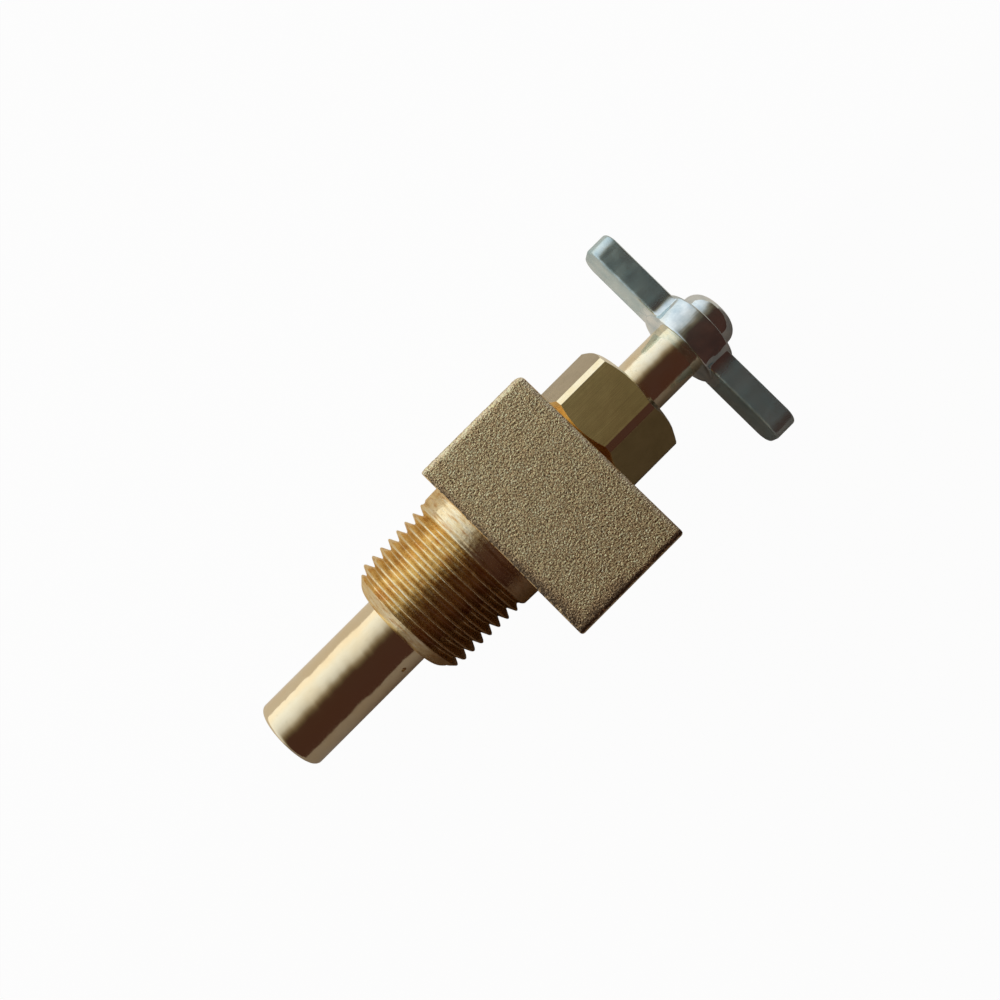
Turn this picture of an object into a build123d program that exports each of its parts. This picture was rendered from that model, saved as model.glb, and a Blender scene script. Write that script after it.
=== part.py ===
from build123d import *

import math
import os

# Fuel shut-off valve for the foot of a tank: a forged brass body with a male taper pipe thread and a standpipe,
# a female outlet at its side, a packing nut, and a screw-down stem that is turned by a T-handle.
# All sizes are in millimetres.
# The valve axis is X, with the handle towards +X and the standpipe towards -X.
# The outlet faces -Y, the valve lies on the flat back of its body, and Z is up.
# The origin is on the valve axis, at the shoulder where the pipe thread meets the body.

# Body block
body_length = 15.9
body_depth = 19.5
outlet_reach = 16.1
closed_reach = body_depth / 2
nose_corner_radius = 1.0
block_corner_radius = 0.35
face_edge_break = 0.25

# Male taper pipe thread, 3/8-18
pipe_pitch = 25.4 / 18
pipe_taper = 1 / 16
pipe_diameter = 17.4
pipe_length = 15.1
pipe_depth = 1.08
pipe_neck = 2.0
pipe_crest_flat = 0.16
pipe_turns = 10
end_face_radius = 5.1
end_cone_radius = 6.9
end_cone_height = 0.6
end_chamfer = 1.15

# Standpipe
tube_diameter = 9.525
tube_wall = 0.75
tube_reach = 18.35
tube_grip = 8.3
tube_end_break = 0.6

# Waterway
passage_radius = 2.2
seat_x = 4.0
seat_lip_width = 0.5
seat_lip_height = 0.5
chamber_radius = 3.4
chamber_end = 11.0

# Female outlet, drilled for a 1/8-27 taper pipe thread
outlet_x = body_length / 2
outlet_radius = 4.25
outlet_depth = 9.8
outlet_chamfer = 0.8
outlet_passage_radius = 2.5

# Gland boss on the body, and the packing nut that covers it
boss_radius = 5.5
boss_height = 5.0
boss_chamfer = 0.5
nut_across_flats = 14.29
nut_corner_cut = 0.55
nut_turn = -5.0
nut_gap = 0.25
nut_height = 8.7
nut_roof = 1.6
nut_top_angle = 30.0
nut_top_corner_drop = 0.84
nut_base_angle = 35.0
nut_base_corner_drop = 1.0

# Packing
packing_washer_thickness = 0.6

# Stem
shank_radius = 3.57
screw_radius = 4.0
screw_length = 5.4
screw_start = 11.6
screw_chamfer = 0.35
foot_radius = 3.1
tang_radius = 2.9
tang_across_flats = 4.6
tang_length = 4.2
tang_groove_depth = 0.6
tang_groove_width = 1.0

# Jumper and its washer
washer_thickness = 2.25
washer_radius = 3.0
jumper_radius = 3.1
jumper_thickness = 1.2
spigot_radius = 1.5
spigot_length = 3.5
stub_radius = 1.0
stub_length = 1.6

# T-handle
handle_start = 32.9
handle_turn = 5.5
arm_span = 32.2
arm_depth = 6.2
arm_thickness = 3.2
arm_end_radius = 2.0
arm_edge_break = 0.3
hub_radius = 5.5
hub_drop = 0.4
hub_height = 3.6
hub_blend = 1.8
button_radius = 3.7
button_top = 6.5
button_edge_radius = 1.8
stem_sink = 0.8

# Depth by which joined forms of one piece run into each other, and by which a thread cutter stands proud
spigot_root = 1.0
cutter_overlap = 0.06

# Clearances between pieces
running_gap = 0.05
packing_gap = 0.04
thread_gap = 0.03
seat_gap = 0.05
end_gap = 0.1

# Places along the axis that follow from the sizes above
pipe_end = -pipe_length
boss_top = body_length + boss_height
nut_base = body_length + nut_gap
nut_top = nut_base + nut_height
nut_ceiling = nut_top - nut_roof
jumper_base = seat_x + seat_gap + washer_thickness
jumper_top = jumper_base + jumper_thickness
stem_foot = jumper_top + end_gap
tang_start = handle_start + stem_sink
tang_end = tang_start + tang_length


def turned(*outline):
    """A solid turned round the valve axis from points of (x, radius)."""
    return revolve(make_face(Polyline(*outline, close=True)), Axis.X)


def rod(start, end, radius):
    """A plain cylinder on the valve axis."""
    return turned((start, 0), (start, radius), (end, radius), (end, 0))


def ring(start, end, inner, outer):
    """A plain ring on the valve axis."""
    return turned((start, inner), (start, outer), (end, outer), (end, inner))


def side_hole(radius, depth):
    """A drilled hole that runs inward from the outlet face."""
    hole = Cylinder(radius, depth, align=(Align.CENTER, Align.CENTER, Align.MIN))
    return Pos(outlet_x, -outlet_reach, 0) * Rot(X=-90) * hole


def pipe_radius(x):
    """Radius over the crests of the taper thread at a place along the axis."""
    return pipe_diameter / 2 + x * pipe_taper / 2


def make_pipe_thread():
    """Taper spigot with a helical groove that runs out along its tangent, as the threading tool leaves the work."""
    groove_end = -pipe_neck - pipe_pitch / 2
    groove_start = groove_end - pipe_turns * pipe_pitch
    bar_start = groove_start - pipe_pitch
    bar = turned(
        (bar_start, 0),
        (bar_start, pipe_radius(bar_start)),
        (0, pipe_radius(0)),
        (spigot_root, pipe_radius(0)),
        (spigot_root, 0),
    )
    half_taper = math.degrees(math.atan(pipe_taper / 2))
    root_radius = pipe_radius(groove_start) - pipe_depth
    path = Helix(pipe_pitch, groove_end - groove_start, root_radius, (groove_start, 0, 0), (1, 0, 0), half_taper)
    flank_slope = (pipe_pitch - pipe_crest_flat) / 2 / pipe_depth
    flank_top = pipe_depth + cutter_overlap
    top_half = flank_slope * flank_top
    cutter_top = pipe_depth + pipe_pitch / 3
    outline = Polyline(
        (0, 0),
        (top_half, flank_top),
        (top_half, cutter_top),
        (-top_half, cutter_top),
        (-top_half, flank_top),
        close=True,
    )
    section = Plane(origin=path @ 0, x_dir=(1, 0, 0), z_dir=path % 0)
    cutter = sweep(section * make_face(outline), path=path, is_frenet=True)
    cutter_end = cutter.faces().filter_by(GeomType.PLANE).sort_by(Axis.X)[-1]
    runout = extrude(cutter_end, amount=pipe_diameter / 3, dir=path % 1)
    chamfer_end = pipe_end + end_cone_height + 2 * end_chamfer
    envelope = turned(
        (pipe_end, 0),
        (pipe_end, end_face_radius),
        (pipe_end + end_cone_height, end_cone_radius),
        (chamfer_end, end_cone_radius + 2 * end_chamfer),
        (chamfer_end, pipe_diameter),
        (spigot_root, pipe_diameter),
        (spigot_root, 0),
    )
    return (bar - cutter - runout) & envelope


def is_block_corner(point):
    """True at the three sharp upright corners of the block: both at the outlet, and the closed one by the thread."""
    return point.Y < 0 or point.X < body_length / 2 - nose_corner_radius


def make_valve_body():
    """Forged block, pipe thread and gland boss in one piece, with the seat and all the drilled ways."""
    width = outlet_reach + closed_reach
    block = Pos(body_length / 2, (closed_reach - outlet_reach) / 2, 0) * Box(body_length, width, body_depth)
    nose = block.edges().filter_by(Axis.Z).sort_by(lambda edge: edge.center().X + edge.center().Y)[-1]
    block = fillet(nose, nose_corner_radius)
    corners = [edge for edge in block.edges().filter_by(Axis.Z) if is_block_corner(edge.center())]
    block = fillet(corners, block_corner_radius)
    rim = block.faces().sort_by(Axis.Z)
    block = chamfer(rim[0].edges() + rim[-1].edges(), face_edge_break)

    boss = turned(
        (body_length - spigot_root, 0),
        (body_length - spigot_root, boss_radius),
        (boss_top - boss_chamfer, boss_radius),
        (boss_top, boss_radius - boss_chamfer),
        (boss_top, 0),
    )
    body = block + make_pipe_thread() + boss

    ways = turned(
        (pipe_end - 1, 0),
        (pipe_end - 1, tube_diameter / 2),
        (pipe_end + tube_grip, tube_diameter / 2),
        (pipe_end + tube_grip, passage_radius),
        (seat_x, passage_radius),
        (seat_x, passage_radius + seat_lip_width),
        (seat_x - seat_lip_height, passage_radius + seat_lip_width),
        (seat_x - seat_lip_height, chamber_radius),
        (chamber_end, chamber_radius),
        (chamber_end, screw_radius + running_gap),
        (boss_top + 1, screw_radius + running_gap),
        (boss_top + 1, 0),
    )
    mouth = Cone(outlet_radius + outlet_chamfer, outlet_radius, outlet_chamfer)
    mouth = Pos(outlet_x, -outlet_reach + outlet_chamfer / 2, 0) * Rot(X=-90) * mouth
    body -= ways
    body -= side_hole(outlet_radius, outlet_depth)
    body -= side_hole(outlet_passage_radius, outlet_reach)
    body -= mouth
    return body


def make_standpipe():
    """Plain tube with the rim of its open end broken."""
    outer = tube_diameter / 2
    tube = ring(pipe_end - tube_reach, pipe_end + tube_grip, outer - tube_wall, outer)
    rim = tube.faces().sort_by(Axis.X)[0].outer_wire()
    return chamfer(rim.edges(), tube_end_break)


def make_packing_nut():
    """Hexagon nut with flat corners, coned at both ends, with a stem hole in its roof."""
    hexagon = RegularPolygon(nut_across_flats / 2, 6, major_radius=False)
    hexagon = chamfer(hexagon.vertices(), nut_corner_cut)
    prism = Rot(X=nut_turn) * extrude(Plane.YZ.offset(nut_base) * hexagon, nut_height)
    corner = nut_across_flats / 2 / math.cos(math.radians(30))
    top_flat = corner - nut_top_corner_drop / math.tan(math.radians(nut_top_angle))
    base_flat = corner - nut_base_corner_drop / math.tan(math.radians(nut_base_angle))
    envelope = turned(
        (nut_base, boss_radius + thread_gap),
        (nut_base, base_flat),
        (nut_base + nut_base_corner_drop, corner),
        (nut_top - nut_top_corner_drop, corner),
        (nut_top, top_flat),
        (nut_top, shank_radius + running_gap),
        (nut_ceiling, shank_radius + running_gap),
        (nut_ceiling, boss_radius + thread_gap),
    )
    return prism & envelope


def make_stem():
    """Turned spindle: foot with a hole for the jumper, screw, plain shank, and a flatted tang for the handle."""
    screw_end = screw_start + screw_length
    spindle = turned(
        (stem_foot, spigot_radius + running_gap),
        (stem_foot, foot_radius),
        (screw_start, foot_radius),
        (screw_start + screw_chamfer, screw_radius),
        (screw_end - screw_chamfer, screw_radius),
        (screw_end, shank_radius),
        (tang_start, shank_radius),
        (tang_start, 0),
        (jumper_top + spigot_length + end_gap, 0),
        (jumper_top + spigot_length + end_gap, spigot_radius + running_gap),
    )
    return spindle + make_tang()


def make_tang():
    """End of the stem inside the handle: two flats stop it turning, and a groove stops it pulling out."""
    round_bar = rod(tang_start, tang_end, tang_radius)
    slab = Pos(tang_start + tang_length / 2, 0, 0) * Box(tang_length, 3 * tang_radius, tang_across_flats)
    groove_start = tang_start + (tang_length - tang_groove_width) / 2
    groove = ring(groove_start, groove_start + tang_groove_width, tang_radius - tang_groove_depth, 2 * tang_radius)
    return Rot(X=handle_turn) * ((round_bar & slab) - groove)


def make_jumper():
    """Disc holder with a spigot for the stem and a stub for the washer."""
    return turned(
        (jumper_base - stub_length, 0),
        (jumper_base - stub_length, stub_radius),
        (jumper_base, stub_radius),
        (jumper_base, jumper_radius),
        (jumper_top, jumper_radius),
        (jumper_top, spigot_radius),
        (jumper_top + spigot_length, spigot_radius),
        (jumper_top + spigot_length, 0),
    )


def make_handle():
    """T-handle cast round the tang, with two flat arms, a round hub and a domed button."""
    arms = RectangleRounded(arm_span, arm_depth, arm_end_radius)
    plan = arms + Circle(hub_radius)
    inner = [v for v in plan.vertices() if abs(v.X) < hub_radius]
    plan = fillet(inner, hub_blend)
    lever = extrude(Plane.YZ.offset(handle_start) * plan, arm_thickness)
    rims = lever.faces().sort_by(Axis.X)
    lever = chamfer(rims[0].edges() + rims[-1].edges(), arm_edge_break)
    hub = rod(handle_start - hub_drop, handle_start + hub_height, hub_radius)
    hub = chamfer(hub.edges().filter_by(GeomType.CIRCLE), arm_edge_break)
    button = rod(handle_start + hub_height - spigot_root, handle_start + button_top, button_radius)
    button = fillet(button.edges().sort_by(Axis.X)[-1], button_edge_radius)
    sink = rod(handle_start - 2 * hub_drop, tang_start, shank_radius)
    return Rot(X=handle_turn) * (lever + hub + button - sink) - make_tang()


pieces = {
    "valve_body": make_valve_body(),
    "standpipe": make_standpipe(),
    "packing_nut": make_packing_nut(),
    "packing_washer": ring(
        boss_top,
        boss_top + packing_washer_thickness,
        shank_radius + running_gap,
        boss_radius - thread_gap,
    ),
    "packing_ring": ring(
        boss_top + packing_washer_thickness,
        nut_ceiling,
        shank_radius + packing_gap,
        boss_radius,
    ),
    "stem": make_stem(),
    "jumper": make_jumper(),
    "seat_washer": ring(seat_x + seat_gap, jumper_base, stub_radius, washer_radius),
    "handle": make_handle(),
}

os.makedirs("parts", exist_ok=True)
for name, piece in pieces.items():
    export_step(piece, f"parts/{name}.step")
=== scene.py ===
import math

import bmesh
import bpy
from mathutils import Matrix, Vector, noise


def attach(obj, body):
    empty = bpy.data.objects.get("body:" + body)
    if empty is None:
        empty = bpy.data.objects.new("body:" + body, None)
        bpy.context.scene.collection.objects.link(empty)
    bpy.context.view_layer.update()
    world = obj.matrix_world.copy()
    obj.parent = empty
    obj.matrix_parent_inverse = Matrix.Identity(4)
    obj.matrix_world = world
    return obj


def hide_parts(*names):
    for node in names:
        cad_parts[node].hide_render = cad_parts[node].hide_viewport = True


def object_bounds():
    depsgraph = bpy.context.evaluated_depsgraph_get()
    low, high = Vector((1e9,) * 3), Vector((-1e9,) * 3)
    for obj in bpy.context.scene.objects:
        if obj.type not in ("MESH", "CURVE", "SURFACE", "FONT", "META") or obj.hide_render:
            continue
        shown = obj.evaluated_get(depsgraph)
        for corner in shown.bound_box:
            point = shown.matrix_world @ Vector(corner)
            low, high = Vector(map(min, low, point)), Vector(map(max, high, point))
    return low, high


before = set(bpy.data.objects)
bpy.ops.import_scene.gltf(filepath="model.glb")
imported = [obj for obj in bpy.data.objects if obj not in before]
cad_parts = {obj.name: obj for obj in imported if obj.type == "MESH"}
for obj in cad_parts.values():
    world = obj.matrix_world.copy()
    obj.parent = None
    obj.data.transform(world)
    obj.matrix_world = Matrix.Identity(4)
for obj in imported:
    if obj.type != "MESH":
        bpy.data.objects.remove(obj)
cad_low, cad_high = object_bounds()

# Looks of the fuel shut-off valve: blasted and machined brass, a polished standpipe and stem,
# and a plated T-handle. Sizes are in millimetres and become metres when a mesh is made.
# The valve axis is X, the outlet faces -Y, and Z is up.

MM = 0.001

# Camera, fitted to the outline in the photograph
camera_roll = 7.99
camera_yaw = 1.58
image_turn = 44.934
aim_x = 4.411
aim_y = 2.294
camera_distance = 126.5
focal_pixels = 1046.8
image_pixels = 1000
sensor_width = 36.0

# Way towards the light half of the sky
light_way = (-0.25, 1.0, -0.2)

# Body block
body_length = 15.9
body_depth = 19.5
closed_reach = body_depth / 2
outlet_reach = 16.1
nose_corner_radius = 1.0
block_corner_radius = 0.4
rim_radius = 0.32
closed_rim_radius = 0.9
outlet_rim_radius = 0.6
block_step = 0.14
block_step_z = 0.22
edge_steps = 5
grain_height = 0.045
grain_size = 0.25
# Width of the band of painted edge highlight and painted shade, partly edge wear and dirt
edge_light_band = 0.8
boss_radius = 5.5
boss_top = 20.9
screw_bore_radius = 4.05
chamber_radius = 3.4
chamber_start = 3.5
chamber_end = 11.0
passage_radius = 2.2

# Male taper pipe thread
pipe_pitch = 25.4 / 18
pipe_half_taper = 1 / 32
pipe_radius = 8.7
pipe_end = -15.1
pipe_depth = 1.08
pipe_neck = 2.0
end_face_radius = 5.1
end_cone_radius = 6.9
end_cone_height = 0.6
thread_root_in_block = 0.4
thread_segments = 192
rows_per_pitch = 16

# Female outlet thread
outlet_x = body_length / 2
outlet_pitch = 25.4 / 27
outlet_radius = 4.25
outlet_depth = 9.8
outlet_thread_depth = 0.7
outlet_mouth_radius = 5.05
outlet_passage_radius = 2.5
outlet_segments = 128

# Standpipe
tube_radius = 9.525 / 2
tube_wall = 0.75
tube_start = -33.45
tube_end = -6.8
tube_rim_radius = 0.62
tube_inner_rim_radius = 0.12
socket_gap = 0.02
pit_x = -17.8
pit_sink = 0.12
pit_angle = -62.0
pit_radius = 0.36

# Packing nut
nut_base = 16.15
nut_top = 24.85
nut_across_flats = 14.29
nut_corner_width = 0.95
nut_turn = -5.0
nut_top_angle = 30.0
nut_top_corner_drop = 0.84
nut_base_angle = 35.0
nut_base_corner_drop = 1.0
nut_ceiling = 23.25
nut_boss_gap = 0.03
nut_shank_gap = 0.05
nut_edge_width = 0.07

# Stem
shank_radius = 3.57
stem_foot = 7.6
screw_start = 11.6
screw_end = 17.0
screw_radius = 4.0
foot_radius = 3.1
tang_start = 33.7
tang_end = 37.9
tang_radius = 2.9

# T-handle
handle_start = 32.9
handle_turn = 5.5
arm_half_span = 16.1
arm_half_depth = 3.1
arm_thickness = 3.2
arm_end_radius = 2.0
arm_rim_radius = 0.38
hub_radius = 5.5
hub_drop = 0.4
hub_height = 3.6
hub_blend = 1.8
hub_rim_radius = 0.35
hub_inset = 0.05
button_radius = 3.7
button_top = 6.5
button_rim_radius = 1.8

turn_steps = 160


# Node helpers

def place(tree, kind, inputs=None, **settings):
    """Adds a node, with its settings and with values or links for its inputs."""
    node = tree.nodes.new(kind)
    for name, value in settings.items():
        setattr(node, name, value)
    for key, value in (inputs or {}).items():
        if isinstance(value, bpy.types.NodeSocket):
            tree.links.new(value, node.inputs[key])
        else:
            node.inputs[key].default_value = value
    return node


def calc(tree, operation, *values):
    """Result of a Math node."""
    node = place(tree, "ShaderNodeMath", dict(enumerate(values)), operation=operation)
    return node.outputs[0]


def blend(tree, factor, first, second, mode="MIX"):
    """Mixed colour of two colours."""
    node = place(tree, "ShaderNodeMix", {0: factor, 6: first, 7: second}, data_type="RGBA", blend_type=mode)
    return node.outputs[2]


def ramp(tree, value, *stops):
    """Colour ramp over stops of (place, colour)."""
    node = place(tree, "ShaderNodeValToRGB", {0: value})
    band = node.color_ramp.elements
    while len(band) < len(stops):
        band.new(0.5)
    for element, (spot, colour) in zip(band, stops):
        element.position = spot
        element.color = (*colour, 1)
    return node.outputs[0]


def spread(tree, value, low, high, to_low=0.0, to_high=1.0):
    """Value moved from one range to another, and held inside it."""
    node = place(tree, "ShaderNodeMapRange", {0: value, 1: low, 2: high, 3: to_low, 4: to_high})
    return node.outputs[0]


# Mesh helpers

def make_object(name, points, faces, material):
    """Mesh object from points in millimetres."""
    mesh = bpy.data.meshes.new(name)
    mesh.from_pydata([[c * MM for c in p] for p in points], [], faces)
    return add_object(name, mesh, material)


def add_object(name, mesh, *materials):
    """Puts a mesh into the scene as a piece with these materials."""
    mesh.materials.clear()
    for material in materials:
        mesh.materials.append(material)
    piece = bpy.data.objects.new(name, mesh)
    bpy.context.collection.objects.link(piece)
    return piece


def clean(piece, sharp=35.0):
    """Merges doubles, points the faces outwards, and shades smooth up to an edge angle."""
    net = bmesh.new()
    net.from_mesh(piece.data)
    bmesh.ops.remove_doubles(net, verts=net.verts, dist=0.002 * MM)
    bmesh.ops.dissolve_degenerate(net, edges=net.edges, dist=0.0005 * MM)
    bmesh.ops.recalc_face_normals(net, faces=net.faces)
    net.to_mesh(piece.data)
    net.free()
    piece.data.shade_smooth()
    piece.data.set_sharp_from_angle(angle=math.radians(sharp))


def bake_modifiers(piece):
    """Turns a piece with modifiers into one with a plain mesh."""
    graph = bpy.context.evaluated_depsgraph_get()
    mesh = bpy.data.meshes.new_from_object(piece.evaluated_get(graph))
    piece.modifiers.clear()
    piece.data = mesh


def combine(piece, operation, *tools):
    """Joins, cuts or intersects a piece with closed tool meshes, which are then removed."""
    for tool in tools:
        step = piece.modifiers.new("shape", "BOOLEAN")
        step.operation = operation
        step.solver = "EXACT"
        step.object = tool
    bake_modifiers(piece)
    for tool in tools:
        bpy.data.objects.remove(tool)


def join(piece, *others):
    """Adds the meshes of other pieces to a piece."""
    net = bmesh.new()
    net.from_mesh(piece.data)
    for other in others:
        net.from_mesh(other.data)
        bpy.data.objects.remove(other)
    net.to_mesh(piece.data)
    net.free()


def rounded(outline, radii, steps=5):
    """Outline of (x, radius) points whose corners are rounded by their own radii."""
    result = []
    count = len(outline)
    for i, radius in enumerate(radii):
        corner = Vector(outline[i])
        if not radius:
            result.append(tuple(corner))
            continue
        before = (Vector(outline[i - 1]) - corner).normalized()
        after = (Vector(outline[(i + 1) % count]) - corner).normalized()
        half = before.angle(after) / 2
        reach = radius / math.tan(half)
        centre = corner + (before + after).normalized() * radius / math.sin(half)
        first = corner + before * reach - centre
        last = corner + after * reach - centre
        sweep = first.angle_signed(last)
        for k in range(steps + 1):
            result.append(tuple(centre + Matrix.Rotation(-sweep * k / steps, 2) @ first))
    return result


def curve(first, bend, last, steps):
    """Points of a smooth curve that leaves its first point and reaches its last one towards the bend."""
    shares = [k / steps for k in range(steps + 1)]
    return [tuple(first * (1 - t) ** 2 + bend * 2 * t * (1 - t) + last * t**2) for t in shares]


def turned(name, outline, material, steps=turn_steps, closed=True, axis_turn=None):
    """Piece turned round the X axis from (x, radius) points; a point on the axis is merged by clean."""
    points = []
    for k in range(steps):
        angle = 2 * math.pi * k / steps
        points += [(x, r * math.cos(angle), r * math.sin(angle)) for x, r in outline]
    rows = len(outline)
    faces = []
    for k in range(steps):
        here = k * rows
        there = (k + 1) % steps * rows
        for i in range(rows if closed else rows - 1):
            j = (i + 1) % rows
            faces.append((here + i, here + j, there + j, there + i))
    piece = make_object(name, points, faces, material)
    if axis_turn:
        piece.data.transform(axis_turn)
    return piece


# Shared shader groups

def shader_group(name, inputs, outputs):
    """Empty shader group with named sockets; returns the tree, its input node and its output node."""
    tree = bpy.data.node_groups.new(name, "ShaderNodeTree")
    for label, kind, value in inputs:
        socket = tree.interface.new_socket(label, in_out="INPUT", socket_type=kind)
        socket.default_value = value
    for label, kind in outputs:
        tree.interface.new_socket(label, in_out="OUTPUT", socket_type=kind)
    return tree, tree.nodes.new("NodeGroupInput"), tree.nodes.new("NodeGroupOutput")


def make_metal_mottle():
    """Slow drift of a metal's colour, with small dark specks; puts out the colour and masks of both."""
    tree, given, out = shader_group(
        "metal mottle",
        [
            ("Light", "NodeSocketColor", (0.9, 0.75, 0.5, 1)),
            ("Deep", "NodeSocketColor", (0.7, 0.5, 0.25, 1)),
            ("Cloud size", "NodeSocketFloat", 4.0),
            ("Speck size", "NodeSocketFloat", 0.4),
            ("Speck amount", "NodeSocketFloat", 0.3),
        ],
        [("Color", "NodeSocketColor"), ("Specks", "NodeSocketFloat"), ("Cloud", "NodeSocketFloat")],
    )
    where = place(tree, "ShaderNodeTexCoord").outputs["Object"]
    cloud_scale = calc(tree, "DIVIDE", 1 / MM, given.outputs["Cloud size"])
    speck_scale = calc(tree, "DIVIDE", 1 / MM, given.outputs["Speck size"])
    cloud = place(
        tree,
        "ShaderNodeTexNoise",
        {"Vector": where, "Scale": cloud_scale, "Detail": 3.0, "Roughness": 0.6},
    )
    speck = place(tree, "ShaderNodeTexNoise", {"Vector": where, "Scale": speck_scale, "Detail": 2.0})
    drift = spread(tree, cloud.outputs[0], 0.35, 0.65)
    tone = blend(tree, drift, given.outputs["Light"], given.outputs["Deep"])
    mask = calc(tree, "MULTIPLY", spread(tree, speck.outputs[0], 0.62, 0.72), given.outputs["Speck amount"])
    dark = blend(tree, mask, tone, (0.05, 0.03, 0.02, 1))
    tree.links.new(dark, out.inputs["Color"])
    tree.links.new(mask, out.inputs["Specks"])
    tree.links.new(drift, out.inputs["Cloud"])
    return tree


def make_stretched_grain():
    """Noise drawn out by a size along each axis in millimetres, as a height: rings, lines or plain grain."""
    tree, given, out = shader_group(
        "stretched grain",
        [("Size", "NodeSocketVector", (1.0, 1.0, 1.0)), ("Detail", "NodeSocketFloat", 2.0)],
        [("Height", "NodeSocketFloat")],
    )
    where = place(tree, "ShaderNodeTexCoord").outputs["Object"]
    scaled = place(tree, "ShaderNodeVectorMath", {0: where, "Scale": 1 / MM}, operation="SCALE")
    size = given.outputs["Size"]
    drawn = place(tree, "ShaderNodeVectorMath", {0: scaled.outputs[0], 1: size}, operation="DIVIDE")
    grain = place(
        tree,
        "ShaderNodeTexNoise",
        {"Vector": drawn.outputs[0], "Scale": 1.0, "Detail": given.outputs["Detail"], "Roughness": 0.55},
    )
    tree.links.new(grain.outputs[0], out.inputs["Height"])
    return tree


def make_facing_rings():
    """Rings that a facing tool leaves round an axis through a centre, as a height."""
    tree, given, out = shader_group(
        "facing rings",
        [
            ("Centre", "NodeSocketVector", (0.0, 0.0, 0.0)),
            ("Plane", "NodeSocketVector", (0.0, 1.0, 1.0)),
            ("Size", "NodeSocketFloat", 0.2),
        ],
        [("Height", "NodeSocketFloat")],
    )
    where = place(tree, "ShaderNodeTexCoord").outputs["Object"]
    offset = place(tree, "ShaderNodeVectorMath", {0: where, 1: given.outputs["Centre"]}, operation="SUBTRACT")
    plane = given.outputs["Plane"]
    flat = place(tree, "ShaderNodeVectorMath", {0: offset.outputs[0], 1: plane}, operation="MULTIPLY")
    radius = place(tree, "ShaderNodeVectorMath", {0: flat.outputs[0]}, operation="LENGTH")
    step = calc(tree, "DIVIDE", calc(tree, "DIVIDE", radius.outputs["Value"], MM), given.outputs["Size"])
    rings = place(tree, "ShaderNodeTexNoise", {"W": step, "Scale": 1.0, "Detail": 2.0}, noise_dimensions="1D")
    tree.links.new(rings.outputs[0], out.inputs["Height"])
    return tree


mottle_group = make_metal_mottle()
grain_group = make_stretched_grain()
rings_group = make_facing_rings()


# Materials

def use_group(tree, group, **inputs):
    """Group node with its inputs set by name; a word gap in a name is written as an underscore."""
    node = tree.nodes.new("ShaderNodeGroup")
    node.node_tree = group
    for label, value in inputs.items():
        node.inputs[label.replace("_", " ")].default_value = value
    return node


def start_material(name):
    """New material with a Principled shader; returns the material, its tree and the shader."""
    material = bpy.data.materials.new(name)
    material.use_nodes = True
    tree = material.node_tree
    return material, tree, tree.nodes["Principled BSDF"]


def relief(tree, heights):
    """Normal of a surface from heights in millimetres."""
    total = heights[0]
    for height in heights[1:]:
        total = calc(tree, "ADD", total, height)
    return place(tree, "ShaderNodeBump", {"Strength": 1.0, "Distance": MM, "Height": total}).outputs[0]


def metal(
    name,
    light,
    deep,
    roughness,
    cloud=4.0,
    speck=0.4,
    specks=0.3,
    marks=(),
    faced=None,
    tint=(1, 1, 1),
    coat=0.0,
    detail=2.0,
):
    """Metal with drifting colour and gloss and dark specks. Tool marks are (sizes along the axes, depth)."""
    material, tree, shader = start_material(name)
    tone = use_group(
        tree,
        mottle_group,
        Light=(*light, 1),
        Deep=(*deep, 1),
        Cloud_size=cloud,
        Speck_size=speck,
        Speck_amount=specks,
    )
    heights = []
    for size, depth in marks:
        grain = use_group(tree, grain_group, Size=size, Detail=detail)
        heights.append(calc(tree, "MULTIPLY", grain.outputs[0], depth))
    if faced:
        centre, plane, depth = faced
        rings = use_group(tree, rings_group, Centre=centre, Plane=plane)
        heights.append(calc(tree, "MULTIPLY", rings.outputs[0], depth))
    gloss = calc(tree, "MULTIPLY_ADD", tone.outputs["Cloud"], 0.08, roughness - 0.04)
    rough = calc(tree, "MULTIPLY_ADD", tone.outputs["Specks"], 0.4, gloss)
    tree.links.new(tone.outputs["Color"], shader.inputs["Base Color"])
    tree.links.new(rough, shader.inputs["Roughness"])
    tree.links.new(relief(tree, heights), shader.inputs["Normal"])
    shader.inputs["Metallic"].default_value = 1.0
    shader.inputs["Specular Tint"].default_value = (*tint, 1)
    shader.inputs["Coat Weight"].default_value = coat
    shader.inputs["Coat Roughness"].default_value = 0.2
    return material


def soft_material(name, light, deep, roughness, size):
    """Rubber or packing: no metal, a fine fibre or mould grain."""
    material, tree, shader = start_material(name)
    tone = use_group(tree, mottle_group, Light=(*light, 1), Deep=(*deep, 1), Cloud_size=1.0, Speck_amount=0.2)
    grain = use_group(tree, grain_group, Size=size)
    tree.links.new(tone.outputs["Color"], shader.inputs["Base Color"])
    tree.links.new(relief(tree, [calc(tree, "MULTIPLY", grain.outputs[0], 0.06)]), shader.inputs["Normal"])
    shader.inputs["Roughness"].default_value = roughness
    return material


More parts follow.
